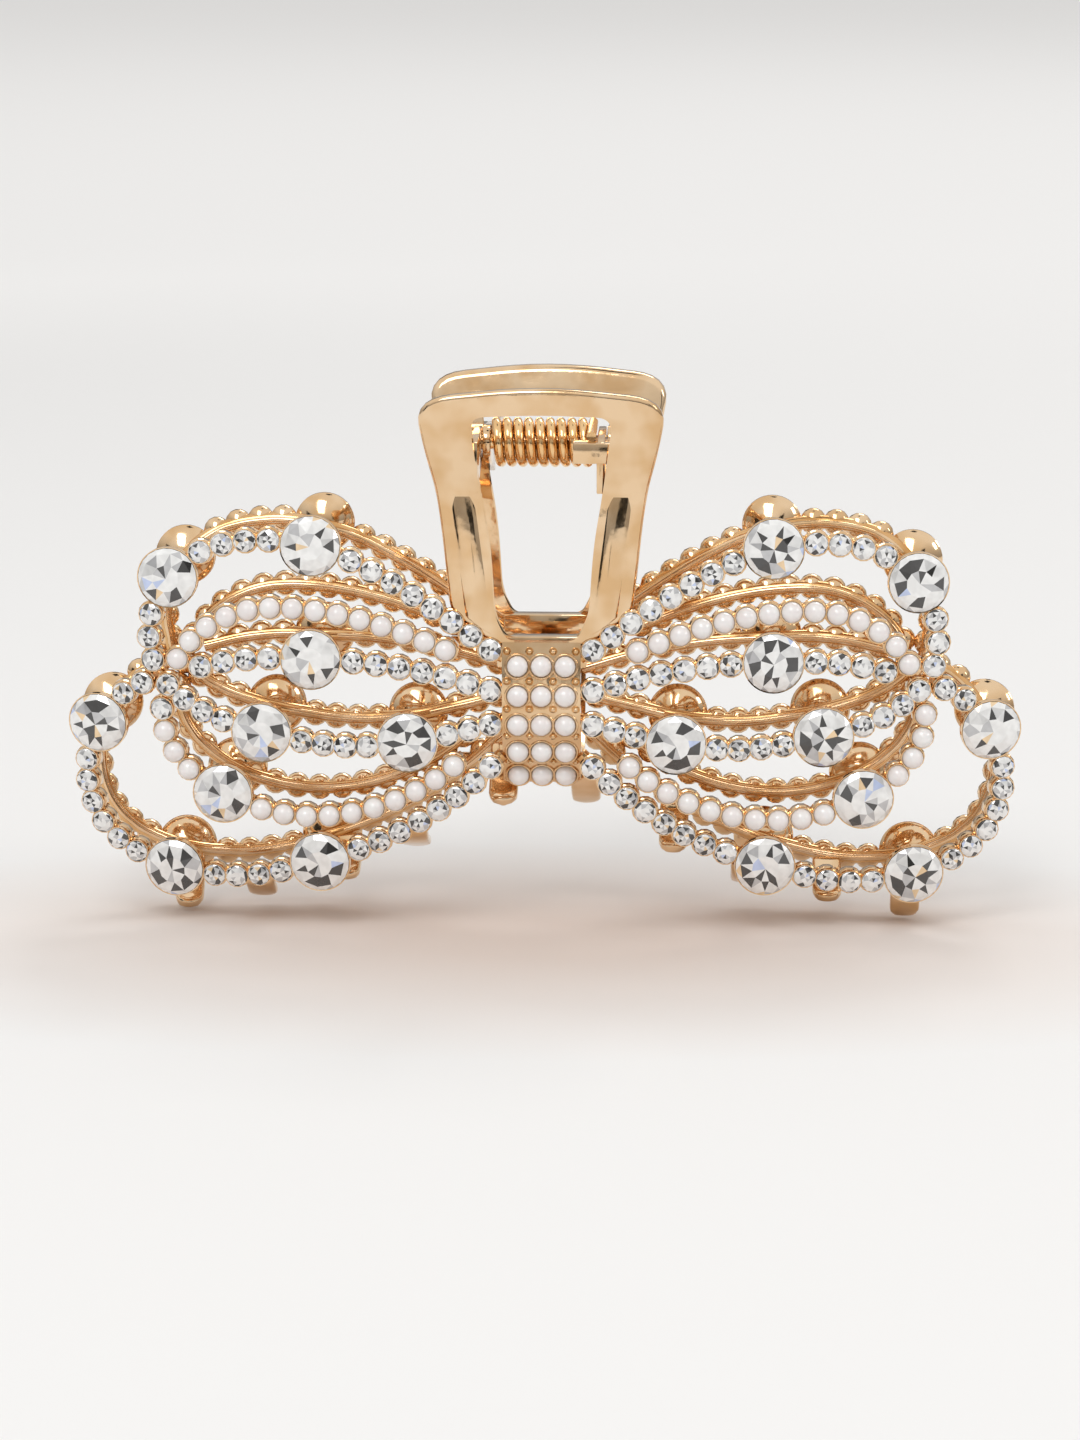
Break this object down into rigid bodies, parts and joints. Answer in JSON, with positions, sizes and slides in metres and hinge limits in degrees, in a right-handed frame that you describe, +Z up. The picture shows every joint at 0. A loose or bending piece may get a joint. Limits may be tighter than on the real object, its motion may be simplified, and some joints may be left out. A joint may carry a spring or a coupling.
{
  "type": "bow hair claw clip",
  "caption": "Bow-shaped metal hair claw with crystal and pearl strands on both halves, a finger loop on each half and a coil-spring hinge between the loops",
  "frame": {"origin": "on the surface the clip stands on, under the middle of the clip", "axes": "X along the bow, +Y from the front half to the rear half, +Z up through the finger loops"},
  "size_m": [0.0994, 0.0234, 0.0567],
  "materials": {
    "gold": "polished light gold plating on cast alloy",
    "crystal": "clear foil-backed faceted glass",
    "pearl": "pearl lustre half rounds",
    "spring_wire": "gold plated wire and pin"
  },
  "bodies": {
    "front": {"front_handle": "gold", "front_knot": "gold", "front_knot_pearls": "pearl", "front_teeth": "gold", "front_right_upper_loop": "gold", "front_right_lower_loop": "gold", "front_right_upper_pearl_strand": "gold", "front_right_upper_crystal_strand": "gold", "front_right_lower_crystal_strand": "gold", "front_right_lower_pearl_strand": "gold", "front_right_crystals": "crystal", "front_right_large_crystals": "crystal", "front_right_pearls": "pearl", "front_left_upper_loop": "gold", "front_left_lower_loop": "gold", "front_left_upper_pearl_strand": "gold", "front_left_upper_crystal_strand": "gold", "front_left_lower_crystal_strand": "gold", "front_left_lower_pearl_strand": "gold", "front_left_crystals": "crystal", "front_left_large_crystals": "crystal", "front_left_pearls": "pearl", "hinge_pin": "spring_wire", "torsion_spring": "spring_wire"},
    "rear": {"rear_handle": "gold", "rear_knot": "gold", "rear_knot_pearls": "pearl", "rear_teeth": "gold", "rear_right_upper_loop": "gold", "rear_right_lower_loop": "gold", "rear_right_upper_pearl_strand": "gold", "rear_right_upper_crystal_strand": "gold", "rear_right_lower_crystal_strand": "gold", "rear_right_lower_pearl_strand": "gold", "rear_right_crystals": "crystal", "rear_right_large_crystals": "crystal", "rear_right_pearls": "pearl", "rear_left_upper_loop": "gold", "rear_left_lower_loop": "gold", "rear_left_upper_pearl_strand": "gold", "rear_left_upper_crystal_strand": "gold", "rear_left_lower_crystal_strand": "gold", "rear_left_lower_pearl_strand": "gold", "rear_left_crystals": "crystal", "rear_left_large_crystals": "crystal", "rear_left_pearls": "pearl"}
  },
  "joints": [
    {"name": "jaw_hinge", "type": "hinge", "parent": "front", "child": "rear", "pos_m": [0, 0, 0.0504], "axis": [1, 0, 0], "range_deg": [0, 55], "stiffness_Nm_per_rad": 0.2, "springref_deg": -42.97, "deforming": ["torsion_spring"]}
  ]
}
